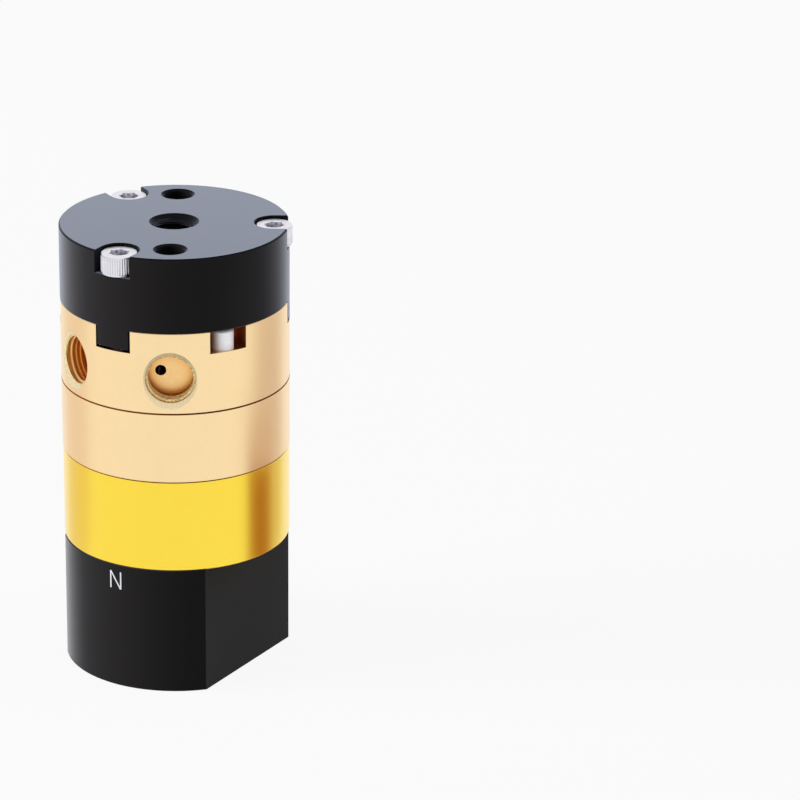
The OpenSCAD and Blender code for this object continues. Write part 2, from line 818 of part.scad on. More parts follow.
module upper_bearing_cage() {
    color(bronze) bearing_cage(shaft_d, upper_bearing_d, upper_bearing_w, upper_ball_d, z_upper);
}

top_cap();
cap_screws();
port_ring();
locating_dowels();
middle_ring();
coupling_ring();
magnet_housing();
fixed_magnet();
slip_disc();
turning_magnet();
magnet_carrier();
carrier_clip();
carrier_bearing_outer_race();
carrier_bearing_inner_race();
carrier_bearing_balls();
carrier_bearing_cage();
carrier_bearing_clip();
vane_rotor();
vane_seal();
stator_shoe();
shoe_seal();
shoe_dowels();
shaft_seal();
cap_o_ring();
middle_o_ring();
stop_arm();
stop_arm_pin();
stop_pins();
stop_bumpers();
lower_bearing_outer_race();
lower_bearing_inner_race();
lower_bearing_balls();
lower_bearing_cage();
lower_bearing_clip();
upper_bearing_outer_race();
upper_bearing_inner_race();
upper_bearing_balls();
upper_bearing_cage();
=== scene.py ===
"""Looks of a switchable magnetic gripper, built round its packed CAD frame."""

import json
import math

import bmesh
import bpy
from mathutils import Matrix, Vector


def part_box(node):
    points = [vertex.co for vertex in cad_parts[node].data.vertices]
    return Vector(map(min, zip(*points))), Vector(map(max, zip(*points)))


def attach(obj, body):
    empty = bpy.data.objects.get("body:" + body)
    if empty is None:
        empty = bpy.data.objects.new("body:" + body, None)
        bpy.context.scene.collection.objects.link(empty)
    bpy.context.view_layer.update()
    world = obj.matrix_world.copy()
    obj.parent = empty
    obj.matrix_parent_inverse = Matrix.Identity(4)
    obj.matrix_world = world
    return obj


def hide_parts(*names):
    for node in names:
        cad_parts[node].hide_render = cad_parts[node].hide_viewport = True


bl_info = {
    "name": "Magnetic gripper looks",
    "version": (1, 0, 0),
    "blender": (4, 5, 0),
    "location": "View3D > Sidebar > Gripper",
    "description": "Dresses the packed frame of a switchable magnetic gripper",
    "category": "Object",
}

MM = 0.001

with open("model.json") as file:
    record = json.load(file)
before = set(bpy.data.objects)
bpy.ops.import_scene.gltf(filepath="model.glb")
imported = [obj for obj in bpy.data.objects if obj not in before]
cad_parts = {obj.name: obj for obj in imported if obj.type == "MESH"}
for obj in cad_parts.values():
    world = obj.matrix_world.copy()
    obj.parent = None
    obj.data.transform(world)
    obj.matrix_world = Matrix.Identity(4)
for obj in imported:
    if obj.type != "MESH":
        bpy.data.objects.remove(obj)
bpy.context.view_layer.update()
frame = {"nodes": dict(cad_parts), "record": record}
MOUNTS = {mount["name"]: mount for mount in frame["record"]["mounts"]}

# Sizes and places that come from the frame, in metres
BODY_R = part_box("middle_ring")[1].x
Z_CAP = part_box("top_cap")[1].z
SCREW_LOW, SCREW_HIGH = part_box("cap_screws")

# Threads: how deep each is cut, as a share of its pitch
SHANK_THREAD, CENTRE_THREAD, PORT_THREAD = 0.61, 0.54, 0.5


# ---- Sizes and colours that a user would change ----


class GripperColours(bpy.types.PropertyGroup):
    """Colours of the gripper's finishes."""

    black: bpy.props.FloatVectorProperty(
        name="Black anodise", description="Dyed black aluminium of the cap",
        subtype="COLOR", size=3, min=0, max=1, default=(0.0120, 0.0098, 0.0092))
    blackened: bpy.props.FloatVectorProperty(
        name="Blackened steel", description="Satin black of the magnet housing",
        subtype="COLOR", size=3, min=0, max=1, default=(0.0140, 0.0125, 0.0125))
    pale_gold: bpy.props.FloatVectorProperty(
        name="Pale gold", description="Blasted and dyed aluminium of the two upper rings",
        subtype="COLOR", size=3, min=0, max=1, default=(0.97, 0.73, 0.405))
    yellow_gold: bpy.props.FloatVectorProperty(
        name="Yellow gold", description="Bright dyed aluminium of the coupling ring",
        subtype="COLOR", size=3, min=0, max=1, default=(1.0, 0.72, 0.06))
    # The faint lavender of this steel is a painted reflection of a cool surrounding.
    steel: bpy.props.FloatVectorProperty(
        name="Bright steel", description="Screws, dowels, shaft and bearing steel",
        subtype="COLOR", size=3, min=0, max=1, default=(0.84, 0.83, 0.89))
    mark: bpy.props.FloatVectorProperty(
        name="Polarity letter", description="Laser-marked letter on the housing",
        subtype="COLOR", size=3, min=0, max=1, default=(0.72, 0.74, 0.78))


class ScrewSizes(bpy.types.PropertyGroup):
    """Sizes of the socket-head cap screws."""

    head_d: bpy.props.FloatProperty(
        name="Head diameter", description="Outside diameter of a screw head",
        unit="LENGTH", min=5 * MM, max=8 * MM, default=7.2 * MM)
    head_h: bpy.props.FloatProperty(
        name="Head height", description="Height of a screw head",
        unit="LENGTH", min=2 * MM, max=5 * MM, default=4 * MM)
    socket_w: bpy.props.FloatProperty(
        name="Socket width", description="Hexagon socket across its flats",
        unit="LENGTH", min=2 * MM, max=4 * MM, default=3.45 * MM)
    socket_depth: bpy.props.FloatProperty(
        name="Socket depth", description="Depth of the hexagon socket",
        unit="LENGTH", min=1 * MM, max=3 * MM, default=2 * MM)
    bevel: bpy.props.FloatProperty(
        name="Head bevel", description="Bevel round the top of a screw head",
        unit="LENGTH", min=0.1 * MM, max=0.8 * MM, default=0.2 * MM)
    knurls: bpy.props.IntProperty(
        name="Knurls", description="Teeth of the straight knurl round a head",
        min=24, max=60, default=44)
    knurl_depth: bpy.props.FloatProperty(
        name="Knurl depth", description="Depth of the straight knurl",
        unit="LENGTH", min=0.02 * MM, max=0.3 * MM, default=0.14 * MM)
    thread_d: bpy.props.FloatProperty(
        name="Thread diameter", description="Outside diameter of the shank's thread",
        unit="LENGTH", min=3 * MM, max=4 * MM, default=3.9 * MM)
    thread_pitch: bpy.props.FloatProperty(
        name="Thread pitch", description="Pitch of the shank's thread",
        unit="LENGTH", min=0.5 * MM, max=1 * MM, default=0.7 * MM)
    thread_l: bpy.props.FloatProperty(
        name="Thread length", description="Length of the threaded end of the shank",
        unit="LENGTH", min=10 * MM, max=40 * MM, default=20 * MM)


class ThreadSizes(bpy.types.PropertyGroup):
    """Threads cut in the centre hole and in the air ports."""

    mount_pitch: bpy.props.FloatProperty(
        name="Centre pitch", description="Pitch of the centre hole's thread",
        unit="LENGTH", min=0.75 * MM, max=1.5 * MM, default=1.25 * MM)
    mount_mouth: bpy.props.FloatProperty(
        name="Centre countersink", description="Depth of the centre hole's countersink",
        unit="LENGTH", min=0.5 * MM, max=2 * MM, default=0.9 * MM)
    port_pitch: bpy.props.FloatProperty(
        name="Port pitch", description="Pitch of the air ports' thread",
        unit="LENGTH", min=0.5 * MM, max=1.2 * MM, default=0.907 * MM)
    port_l: bpy.props.FloatProperty(
        name="Port thread length", description="Length of the thread in an air port",
        unit="LENGTH", min=1 * MM, max=4 * MM, default=3.2 * MM)
    port_mouth: bpy.props.FloatProperty(
        name="Port countersink", description="Depth of an air port's countersink",
        unit="LENGTH", min=0.3 * MM, max=1.5 * MM, default=0.985 * MM)
    port_depth: bpy.props.FloatProperty(
        name="Port depth", description="Depth of an air port behind the outside of the ring",
        unit="LENGTH", min=3.5 * MM, max=5 * MM, default=4.5 * MM)
    air_hole_r: bpy.props.FloatProperty(
        name="Air hole radius", description="Radius of the air hole in the bottom of a port",
        unit="LENGTH", min=0.5 * MM, max=1.5 * MM, default=1.13 * MM)
    air_hole_side: bpy.props.FloatProperty(
        name="Air hole side", description="Distance of the air hole to the side of the axis",
        unit="LENGTH", min=1 * MM, max=2.5 * MM, default=2 * MM)
    air_hole_up: bpy.props.FloatProperty(
        name="Air hole height", description="Distance of the air hole above the axis",
        unit="LENGTH", min=0, max=1 * MM, default=0.6 * MM)


class JointShadeSizes(bpy.types.PropertyGroup):
    """Dark lines of painted shade in the joints between the gold rings."""

    # The lines here are thin dark rings that stand for the shade in the joints.
    half: bpy.props.FloatProperty(
        name="Half height", description="Half the height of a sealant line",
        unit="LENGTH", min=0.05 * MM, max=0.3 * MM, default=0.13 * MM)
    upper_proud: bpy.props.FloatProperty(
        name="Upper bead", description="How far the upper line stands out from the rings' faces",
        unit="LENGTH", min=0, max=0.05 * MM, default=0.012 * MM)
    lower_sunk: bpy.props.FloatProperty(
        name="Lower depth", description="How far the lower line lies behind the rings' faces",
        unit="LENGTH", min=0, max=0.2 * MM, default=0.04 * MM)


class LetterSizes(bpy.types.PropertyGroup):
    """The polarity letter on the magnet housing."""

    azimuth: bpy.props.FloatProperty(
        name="Azimuth", description="Where the letter is round the housing",
        subtype="ANGLE", default=math.radians(-120))
    foot: bpy.props.FloatProperty(
        name="Foot", description="Height of the letter's foot above the magnet face",
        unit="LENGTH", default=20.8 * MM)
    height: bpy.props.FloatProperty(
        name="Height", description="Height of the letter",
        unit="LENGTH", default=3.65 * MM)
    width: bpy.props.FloatProperty(
        name="Width", description="Width of the letter",
        unit="LENGTH", default=2.6 * MM)
    stroke: bpy.props.FloatProperty(
        name="Stroke", description="Width of the letter's strokes",
        unit="LENGTH", default=0.3 * MM)


class StudioSettings(bpy.types.PropertyGroup):
    """Camera, lamps, floor and world."""

    lens: bpy.props.FloatProperty(
        name="Lens", description="Focal length of the camera",
        unit="CAMERA", min=50, max=400, default=203.45)
    world_level: bpy.props.FloatProperty(
        name="World level", description="Strength of the even light from all round",
        min=0, max=2, default=0.12)
    left_level: bpy.props.FloatProperty(
        name="Left level", description="Power of the large lamp on the left, in watts",
        unit="POWER", min=0, max=200, default=64.0)
    right_level: bpy.props.FloatProperty(
        name="Right level", description="Power of the large lamp on the right, in watts",
        unit="POWER", min=0, max=200, default=18.0)
    top_level: bpy.props.FloatProperty(
        name="Top level", description="Power of the lamp overhead, in watts",
        unit="POWER", min=0, max=50, default=2.0)


# ---- Shader node groups ----


def node_group(name, inputs, outputs):
    """A new shader node group with number inputs and their defaults. Only Normal is a vector."""
    group = bpy.data.node_groups.new(name, "ShaderNodeTree")
    for label, default in inputs.items():
        socket = group.interface.new_socket(label, in_out="INPUT", socket_type="NodeSocketFloat")
        socket.default_value = default
    for label in outputs:
        kind = "NodeSocketVector" if label == "Normal" else "NodeSocketFloat"
        group.interface.new_socket(label, in_out="OUTPUT", socket_type=kind)
    return group, group.nodes.new("NodeGroupInput"), group.nodes.new("NodeGroupOutput")


def feed(tree, socket, value):
    """Sets an input to a number or colour, or links it to another node's output."""
    if isinstance(value, bpy.types.NodeSocket):
        tree.links.new(value, socket)
    else:
        socket.default_value = value


def fed(tree, node, **values):
    """Feeds a node's inputs, which are named with _ for a space. Returns the node."""
    for label, value in values.items():
        feed(tree, node.inputs[label.replace("_", " ")], value)
    return node


def value_node(tree, operation, *values):
    """A Math node whose inputs are numbers or sockets, in order. Returns its output."""
    node = tree.nodes.new("ShaderNodeMath")
    node.operation = operation
    for socket, value in zip(node.inputs, values):
        feed(tree, socket, value)
    return node.outputs[0]


def remap(tree, value, low, high, to_low, to_high):
    """A Map Range node from low..high to to_low..to_high, clamped. Returns its output."""
    node = fed(tree, tree.nodes.new("ShaderNodeMapRange"), Value=value, From_Min=low,
               From_Max=high, To_Min=to_low, To_Max=to_high)
    return node.outputs["Result"]


def mask(tree, value, none_at, full_at):
    """0 where the value is none_at and 1 where it is full_at, which may be the lower one."""
    if none_at < full_at:
        return remap(tree, value, none_at, full_at, 0.0, 1.0)
    return remap(tree, value, full_at, none_at, 1.0, 0.0)


def noise(tree, vector, scale, detail=2.0, roughness=0.5):
    """A Noise Texture on a vector, at a scale that is a number or a socket. Returns its value."""
    node = fed(tree, tree.nodes.new("ShaderNodeTexNoise"), Vector=vector, Scale=scale,
               Detail=detail, Roughness=roughness)
    return node.outputs["Fac"]


def coordinates(tree, kind="Object"):
    """One output of a Texture Coordinate node."""
    return tree.nodes.new("ShaderNodeTexCoord").outputs[kind]


def split_vector(tree, vector):
    """The outputs X, Y and Z of a vector."""
    split = tree.nodes.new("ShaderNodeSeparateXYZ")
    tree.links.new(vector, split.inputs[0])
    return split.outputs


def grain_outputs(group, outlet, fine, broad, fine_share):
    """Puts a fine noise out as Height, and its mix with a broad one as Tone."""
    mixed = value_node(group, "ADD", value_node(group, "MULTIPLY", fine, fine_share),
                       value_node(group, "MULTIPLY", broad, 1 - fine_share))
    fed(group, outlet, Height=fine, Tone=mask(group, mixed, none_at=0.35, full_at=0.65))
    return group


def make_blasted_grain():
    """Even pits of a bead-blasted surface: a height for bump and a tone for colour."""
    group, inlet, outlet = node_group("blasted_grain", {"Scale": 6000.0}, ("Height", "Tone"))
    place = coordinates(group)
    fine = noise(group, place, inlet.outputs["Scale"], roughness=0.6)
    broad = noise(group, place, 260.0, detail=3.0)
    return grain_outputs(group, outlet, fine, broad, fine_share=0.85)


def make_turned_lines():
    """Fine lines that a lathe tool leaves round the Z axis: a height and a tone."""
    group, inlet, outlet = node_group("turned_lines", {"Scale": 9000.0}, ("Height", "Tone"))
    x, y, z = split_vector(group, coordinates(group))
    squares = value_node(group, "ADD", value_node(group, "MULTIPLY", x, x),
                         value_node(group, "MULTIPLY", y, y))
    section = fed(group, group.nodes.new("ShaderNodeCombineXYZ"),
                  X=value_node(group, "SQRT", squares), Z=z).outputs["Vector"]
    lines = noise(group, section, inlet.outputs["Scale"], detail=1.0)
    broad = noise(group, section, 900.0)
    return grain_outputs(group, outlet, lines, broad, fine_share=0.5)


def make_soft_edges():
    """Edges rounded over a small radius: a rounded normal, and a mask that is 1 on an edge."""
    group, inlet, outlet = node_group("soft_edges", {"Radius": 0.12 * MM}, ("Normal", "Mask"))
    bevel = fed(group, group.nodes.new("ShaderNodeBevel"), Radius=inlet.outputs["Radius"])
    bevel.samples = 4
    rounded = bevel.outputs["Normal"]
    flat = group.nodes.new("ShaderNodeNewGeometry").outputs["Normal"]
    likeness = group.nodes.new("ShaderNodeVectorMath")
    likeness.operation = "DOT_PRODUCT"
    for socket, normal in zip(likeness.inputs, (rounded, flat)):
        feed(group, socket, normal)
    on_edge = mask(group, likeness.outputs["Value"], none_at=0.99, full_at=0.80)
    fed(group, outlet, Normal=rounded, Mask=on_edge)
    return group


def make_recess():
    """How far a place is shut in by a slot, hole or joint, from ambient occlusion: 0 on an open
    face and 1 far inside. It tells where painted shade goes.
    """
    group, inlet, outlet = node_group("recess", {"Reach": 3 * MM}, ("Depth",))
    openness = fed(group, group.nodes.new("ShaderNodeAmbientOcclusion"),
                   Distance=inlet.outputs["Reach"])
    openness.samples = 8
    depth = mask(group, openness.outputs["AO"], none_at=0.92, full_at=0.25)
    fed(group, outlet, Depth=depth)
    return group


def make_leaning():
    """Which way a face looks: Bevel is 1 on chamfers that lean up and outward, Top on flat tops.
    Where a finish has a top coat, Bevel also sets painted shade on chamfers.
    """
    group, _, outlet = node_group("leaning", {}, ("Bevel", "Top"))
    _, _, up = split_vector(group, coordinates(group, "Normal"))
    upward = mask(group, up, none_at=0.30, full_at=0.45)
    tilted = mask(group, up, none_at=0.97, full_at=0.88)
    fed(group, outlet, Bevel=value_node(group, "MULTIPLY", upward, tilted),
        Top=mask(group, up, none_at=0.97, full_at=0.99))
    return group


def make_handling():
    """Slow patches left by handling, which change how rough a surface is."""
    group, inlet, outlet = node_group("handling", {"Scale": 90.0}, ("Smudge",))
    cloud = noise(group, coordinates(group), inlet.outputs["Scale"], 4.0, 0.55)
    fed(group, outlet, Smudge=mask(group, cloud, none_at=0.38, full_at=0.68))
    return group


GROUP_MAKERS = {
    "blasted_grain": make_blasted_grain,
    "turned_lines": make_turned_lines,
    "soft_edges": make_soft_edges,
    "recess": make_recess,
    "leaning": make_leaning,
    "handling": make_handling,
}


def place_group(tree, name, **values):
    """Places a node group in a material and feeds its inputs. It is made on first use."""
    node = tree.nodes.new("ShaderNodeGroup")
    node.node_tree = bpy.data.node_groups.get(name) or GROUP_MAKERS[name]()
    return fed(tree, node, **values)


# ---- Materials ----


def new_material(name):
    """A new material. Returns it, its tree and its Principled shader."""
    material = bpy.data.materials.new(name)
    material.use_nodes = True
    return material, material.node_tree, material.node_tree.nodes["Principled BSDF"]


def shade_of(tree, tone, dark, light):
    """A colour between two, by a mask."""
    mix = tree.nodes.new("ShaderNodeMix")
    mix.data_type = "RGBA"
    feed(tree, mix.inputs["Factor"], tone)
    ends = [socket for socket in mix.inputs if socket.type == "RGBA"]
    for socket, colour in zip(ends, (dark, light)):
        feed(tree, socket, (*colour, 1.0) if isinstance(colour, tuple) else colour)
    return next(socket for socket in mix.outputs if socket.type == "RGBA")


def scaled(colour, factor):
    """A colour made lighter or darker by a factor."""
    return tuple(min(1.0, channel * factor) for channel in colour)


def metal_finish(name, colour, metallic, roughness, grain, depth, wear,
                 lines=False, edge=0.12 * MM, spread=0.06, deep=None, reach=3 * MM,
                 top_coat=0.0, rim_coat=0.0, rim_from=0.40, **shader):
    """A dyed, plated or bare surface: grain or turned lines, edge colour, handling marks and
    painted shade in hollows.

    colour is a colour or the name of one that a user sets. grain is the texture's scale and
    depth its height, spread how far its tone strays, and edge the radius of a rounded edge.
    The edge colour is rubbed wear, and on the black cap a painted highlight. The colour of hollows,
    where there is one, is painted shade in slots, holes and joints. top_coat is the sealing coat
    of open flat tops; where it is given, chamfers that lean up and outward take the painted shade
    too, and they and the slots get no coat. rim_coat is its gloss where the surface is seen at a
    grazing angle, past rim_from.
    shader sets plain values on the Principled."""
    rim_full = 0.85         # Layer Weight's Facing at which rim_coat is whole
    edge_colour_strength = 0.5      # how strongly an edge takes the edge colour: rubbed wear, and on the black cap a painted highlight
    polished, dulled = 0.96, 1.05   # how handling changes the roughness
    if isinstance(colour, str):
        colour = getattr(bpy.context.scene.gripper_colours, colour)
    material, tree, principled = new_material(name)
    texture = place_group(tree, "turned_lines" if lines else "blasted_grain", Scale=grain)
    edges = place_group(tree, "soft_edges", Radius=edge)
    marks = place_group(tree, "handling")
    body = shade_of(tree, texture.outputs["Tone"],
                    scaled(colour, 1 - spread), scaled(colour, 1 + spread))
    coat = 0.0
    if rim_coat:
        facing = tree.nodes.new("ShaderNodeLayerWeight").outputs["Facing"]
        coat = remap(tree, facing, rim_from, rim_full, 0.0, rim_coat)
    if deep is not None:
        # Painted shade: places shut in by slots, holes and joints, and on coated finishes
        # up-leaning chamfers, take the colour of shade
        painted_shade = place_group(tree, "recess", Reach=reach).outputs["Depth"]
        if top_coat:
            leaning = place_group(tree, "leaning")
            painted_shade = value_node(tree, "MAXIMUM", painted_shade, leaning.outputs["Bevel"])
            flat = value_node(tree, "MULTIPLY", leaning.outputs["Top"], top_coat)
            coat = value_node(tree, "MAXIMUM", coat, flat)
            coat = value_node(tree, "SUBTRACT", coat, painted_shade)
        body = shade_of(tree, painted_shade, body, deep)
    edge_wear_and_glint_share = value_node(tree, "MULTIPLY", edges.outputs["Mask"], edge_colour_strength)
    uneven = remap(tree, marks.outputs["Smudge"], 0.0, 1.0,
                   roughness * polished, roughness * dulled)
    bump = fed(tree, tree.nodes.new("ShaderNodeBump"), Strength=0.5, Distance=depth,
               Height=texture.outputs["Height"], Normal=edges.outputs["Normal"])
    fed(tree, principled, Base_Color=shade_of(tree, edge_wear_and_glint_share, body, wear), Roughness=uneven,
        Normal=bump.outputs["Normal"], Metallic=metallic, **{"Coat_Weight": coat, **shader})
    return material


# What metal_finish is told for each finish. A colour for hollows is painted shade, laid into slots,
# holes and joints by ambient occlusion.
FINISHES = {
    # The black cap's pale bluish edge colour is a painted highlight along its rims.
    "black_anodised": dict(
        colour="black", metallic=0.0, roughness=0.34, grain=7000.0, depth=0.004 * MM,
        wear=(0.10, 0.105, 0.12), edge=0.07 * MM, deep=(0.0008, 0.0008, 0.0008), reach=5 * MM,
        top_coat=1.0, rim_coat=1.0, Coat_IOR=1.31, Coat_Roughness=0.3, Specular_IOR_Level=0.06,
        Sheen_Weight=1.0, Sheen_Roughness=0.34, Sheen_Tint=(0.60, 0.72, 1.0, 1.0)),
    "blackened_steel": dict(
        colour="blackened", metallic=0.0, roughness=0.34, grain=8000.0, depth=0.003 * MM,
        wear=(0.02, 0.02, 0.022), edge=0.05 * MM, rim_coat=1.0, rim_from=0.50,
        Coat_IOR=1.30, Coat_Roughness=0.3, Specular_IOR_Level=0.03,
        Sheen_Weight=0.75, Sheen_Roughness=0.33, Sheen_Tint=(0.78, 0.84, 1.0, 1.0)),
    "pale_gold_anodised": dict(
        colour="pale_gold", metallic=1.0, roughness=0.30, grain=6500.0, depth=0.006 * MM,
        wear=(0.97, 0.76, 0.48), edge=0.04 * MM, spread=0.04, deep=(0.42, 0.13, 0.016),
        Coat_Weight=0.25, Coat_Roughness=0.35),
    "yellow_gold_anodised": dict(
        colour="yellow_gold", metallic=1.0, roughness=0.26, grain=9000.0, depth=0.003 * MM,
        wear=(0.99, 0.74, 0.12), edge=0.04 * MM, spread=0.03, deep=(0.32, 0.07, 0.003),
        Coat_Weight=0.35, Coat_Roughness=0.22),
    "port_cut": dict(
        colour=(1.0, 0.82, 0.55), metallic=1.0, roughness=0.56, grain=4000.0, depth=0.060 * MM,
        wear=(0.94, 0.80, 0.54), edge=0.04 * MM, spread=0.14, deep=(0.72, 0.40, 0.12)),
    # The bore's colour, darker and more orange than the ring's gold, is painted shade of the hole.
    "port_bore": dict(
        colour=(0.78, 0.46, 0.16), metallic=1.0, roughness=0.40, grain=3600.0, depth=0.060 * MM,
        wear=(0.95, 0.72, 0.42), edge=0.04 * MM, spread=0.15, deep=(0.36, 0.12, 0.008),
        reach=4 * MM),
    "port_chatter": dict(
        colour=(0.72, 0.57, 0.30), metallic=1.0, roughness=0.50, grain=3200.0, depth=0.200 * MM,
        wear=(0.90, 0.74, 0.44), edge=0.04 * MM, spread=0.5, deep=(0.52, 0.22, 0.030)),
    "port_gold": dict(
        colour=(1.0, 0.76, 0.42), metallic=1.0, roughness=0.30, grain=3600.0, depth=0.020 * MM,
        wear=(1.0, 0.88, 0.66), edge=0.06 * MM, spread=0.10, deep=(0.92, 0.46, 0.080)),
    "port_floor": dict(
        colour=(0.99, 0.75, 0.38), metallic=1.0, roughness=0.34, grain=3600.0, depth=0.030 * MM,
        wear=(0.98, 0.80, 0.50), edge=0.04 * MM, spread=0.08, deep=(0.84, 0.31, 0.020),
        reach=6 * MM),
    "ground_steel": dict(
        colour=(0.96, 0.96, 1.0), metallic=0.8, roughness=0.68, grain=9000.0, depth=0.002 * MM,
        wear=(0.85, 0.85, 0.87), edge=0.05 * MM, lines=True),
    "bright_steel": dict(
        colour="steel", metallic=1.0, roughness=0.28, grain=9000.0, depth=0.002 * MM,
        wear=(0.95, 0.95, 0.98), edge=0.06 * MM, lines=True, deep=(0.06, 0.06, 0.066),
        reach=1.2 * MM),
    "dark_steel": dict(
        colour=(0.20, 0.205, 0.22), metallic=1.0, roughness=0.42, grain=7000.0,
        depth=0.004 * MM, wear=(0.5, 0.5, 0.52)),
    "nickel_plate": dict(
        colour=(0.70, 0.68, 0.63), metallic=1.0, roughness=0.14, grain=9000.0,
        depth=0.001 * MM, wear=(0.9, 0.88, 0.84), lines=True),
    "bronze": dict(
        colour=(0.60, 0.36, 0.14), metallic=1.0, roughness=0.32, grain=8000.0,
        depth=0.003 * MM, wear=(0.85, 0.62, 0.34), lines=True),
    "black_rubber": dict(
        colour=(0.018, 0.018, 0.019), metallic=0.0, roughness=0.62, grain=4000.0,
        depth=0.010 * MM, wear=(0.03, 0.03, 0.03), spread=0.2),
    "slip_plastic": dict(
        colour=(0.82, 0.80, 0.72), metallic=0.0, roughness=0.45, grain=3000.0,
        depth=0.004 * MM, wear=(0.9, 0.88, 0.82), Subsurface_Weight=0.05),
    # A dark brown that stands for the shade in a joint between the rings.
    "sealant": dict(
        colour=(0.17, 0.042, 0.004), metallic=0.0, roughness=0.55, grain=5000.0,
        depth=0.006 * MM, wear=(0.05, 0.02, 0.01), edge=0.02 * MM, spread=0.2,
        Specular_IOR_Level=0.05),
    "laser_mark": dict(
        colour="mark", metallic=0.0, roughness=0.6, grain=9000.0,
        depth=0.004 * MM, wear=(0.8, 0.8, 0.82), edge=0.02 * MM),
}


def finish_named(name):
    """The material of a finish, made on first use."""
    label = "finish_" + name
    return bpy.data.materials.get(label) or metal_finish(label, **FINISHES[name])


def dress(*nodes):
    """Gives each CAD node the finish of its own material slot in the record."""
    for name in nodes:
        node = frame["nodes"][name]
        slot_name = node.data.materials[0].name.split(".")[0]
        node.data.materials[0] = finish_named(slot_name)


# ---- Mesh building ----


def linked_object(name, data):
    """A new object in the scene."""
    holder = bpy.data.objects.new(name, data)
    bpy.context.scene.collection.objects.link(holder)
    return holder


def piece_from(name, verts, faces, body, slot, finish=None, sharp=35):
    """A mesh piece from points and faces, smooth but for sharp edges, that rides on a body."""
    mesh = bpy.data.meshes.new(name)
    mesh.from_pydata(verts, [], faces)
    tidy = bmesh.new()
    tidy.from_mesh(mesh)
    bmesh.ops.recalc_face_normals(tidy, faces=tidy.faces)
    tidy.to_mesh(mesh)
    tidy.free()
    mesh.shade_smooth()
    mesh.set_sharp_from_angle(angle=math.radians(sharp))
    mesh.materials.append(finish_named(finish or slot))
    piece = linked_object(name, mesh)
    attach(piece, body)
    return piece


def side_faces(rings, spans):
    """Four-sided faces from each ring to the next, for so many spans. The last joins the first."""
    count = len(rings[0])
    faces = []
    for level in range(spans):
        low, high = level * count, (level + 1) % len(rings) * count
        faces += [(low + i, low + (i + 1) % count, high + (i + 1) % count, high + i)
                  for i in range(count)]
    return faces


def closed_stack(rings):
    """Points and faces of a closed solid through rings of equally many points, with flat ends."""
    verts = [point for ring in rings for point in ring]
    count = len(rings[0])
    faces = side_faces(rings, len(rings) - 1)
    faces.append(tuple(reversed(range(count))))
    faces.append(tuple(range(len(verts) - count, len(verts))))
    return verts, faces


def closed_loop(rings):
    """Points and faces of a closed tube whose section runs through the rings and back."""
    return [point for ring in rings for point in ring], side_faces(rings, len(rings))


def ring_points(radius_at, z, count, centre=(0.0, 0.0)):
    """Points of one ring. radius_at gives the radius at an angle."""
    angles = [math.tau * i / count for i in range(count)]
    return [(centre[0] + radius_at(a) * math.cos(a), centre[1] + radius_at(a) * math.sin(a), z)
            for a in angles]


def round_of(radius):
    """A round outline for ring_points."""
    return lambda angle: radius


def thread_ridge(root_r, crest_r, pitch, z0, z1, steps=56, root_share=0.84):
    """Points and faces of one thread ridge round the Z axis, inward where crest_r is smaller.

    steps is how many there are in a turn, and root_share how much of the pitch the ridge's
    foot takes. It fades out over its first and last third of a turn."""
    bury = 0.03 * MM        # how far the foot stands in the wall
    crest_share = 0.20      # how much of the pitch the crest takes
    least = 0.02            # height of the ridge's ends, as a share of the whole
    turns = (z1 - z0) / pitch
    count = max(8, round(turns * steps))
    outward = 1 if crest_r > root_r else -1
    root, root_half = root_r - outward * bury, root_share / 2 * pitch
    crest_half = crest_share / 2 * pitch
    rings = []
    for i in range(count + 1):
        along = turns * i / count
        angle = math.tau * along
        z = z0 + pitch * along
        fade = min(1.0, 3 * along, 3 * (turns - along))
        crest = root_r + (crest_r - root_r) * max(fade, least)
        rings.append([
            (radius * math.cos(angle), radius * math.sin(angle), z + rise)
            for radius, rise in ((root, -root_half), (crest, -crest_half),
                                 (crest, crest_half), (root, root_half))
        ])
    return closed_stack(rings)


def moved(verts, matrix):
    """Points put in their place by a matrix."""
    return [tuple(matrix @ Vector(v)) for v in verts]


def joined(*parts):
    """Points and faces of several solids as one mesh."""
    verts, faces = [], []
    for part_verts, part_faces in parts:
        start = len(verts)
        verts += part_verts
        faces += [tuple(start + i for i in face) for face in part_faces]
    return verts, faces


# ---- Pieces ----


def ring_top(node):
    """Height of the joint on top of a ring, which is the lowest point of the ring above it."""
    above = {"coupling_ring": "middle_ring", "middle_ring": "port_ring"}[node]
    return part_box(above)[0].z


def screw_places():
    """Centres of the three cap screws, the first of them on the X axis.

    The box round them reaches a head's radius past the circle on one side, and past half of
    it on the other, so the circle is twice the sum of both ends."""
    circle = 2 * (SCREW_HIGH.x + SCREW_LOW.x)
    return [(circle * math.cos(a), circle * math.sin(a))
            for a in (math.radians(120 * i) for i in range(3))]


